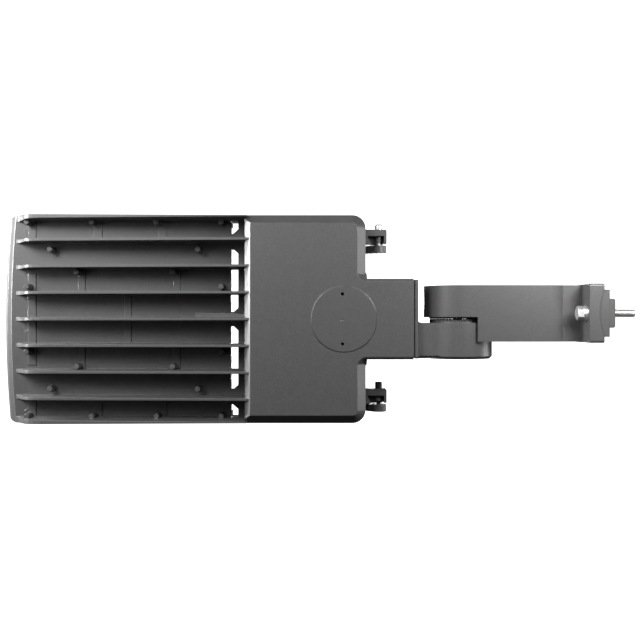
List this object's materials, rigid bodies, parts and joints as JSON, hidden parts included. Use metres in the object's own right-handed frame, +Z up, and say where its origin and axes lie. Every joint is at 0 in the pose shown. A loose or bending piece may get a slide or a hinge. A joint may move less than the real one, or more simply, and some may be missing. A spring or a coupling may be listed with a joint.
{
  "type": "area light",
  "caption": "Flat finned LED area-light head on a toothed, tilting knuckle arm that bolts to a pole, with a hinged driver door underneath.",
  "frame": {"origin": "middle of the pole seat: the outer face of the seat plate, between the two pole bolts", "axes": "+X into the pole, +Z up, +Y across; the head lies level along -X with its light side down"},
  "size_m": [0.83, 0.28, 0.154],
  "materials": {
    "body_paint": "dark grey fine-texture powder coat on die-cast aluminium",
    "steel": "plain stainless steel",
    "black_rubber": "moulded silicone",
    "white_mask": "white solder mask on an aluminium board",
    "led_phosphor": "phosphor-filled silicone",
    "lens_clear": "clear moulded optics",
    "driver_case": "plain aluminium case",
    "surge_case": "moulded plastic",
    "terminal_plastic": "moulded plastic",
    "black_pin": "black zinc-plated, dull"
  },
  "bodies": {
    "arm": {"arm": "body_paint", "arm_cover": "body_paint", "arm_cover_screws": "steel", "pivot_bolt": "steel", "pivot_washers": "steel", "pivot_nut": "steel", "pole_bolts": "steel", "pole_spring_washers": "steel", "pole_washers": "steel", "pole_adaptor": "body_paint", "pole_plate": "body_paint", "wire_bushing": "black_rubber"},
    "head": {"housing": "body_paint", "bracket": "body_paint", "bracket_gasket": "black_rubber", "bracket_screws": "steel", "led_board": "white_mask", "led_chips": "led_phosphor", "board_screws": "steel", "lens_plate": "lens_clear", "lens_gasket": "black_rubber", "lens_frame": "body_paint", "lens_screws": "steel", "led_driver": "driver_case", "driver_screws": "steel", "surge_protector": "surge_case", "surge_screws": "steel", "terminal_block": "terminal_plastic", "terminal_screws": "steel", "cable_grommet": "black_rubber", "hinge_screw": "steel", "hinge_washer": "steel", "hinge_pin": "black_pin"},
    "door": {"driver_door": "body_paint", "door_gasket": "black_rubber", "door_screws": "steel"}
  },
  "joints": [
    {"name": "head_tilt", "type": "hinge", "parent": "arm", "child": "head", "pos_m": [-0.187, 0, 0], "axis": [0, 1, 0], "range_deg": [-60, 60]},
    {"name": "door_swing", "type": "hinge", "parent": "head", "child": "door", "pos_m": [-0.292, 0, -0.024], "axis": [0, -1, 0], "range_deg": [0, 90]}
  ]
}
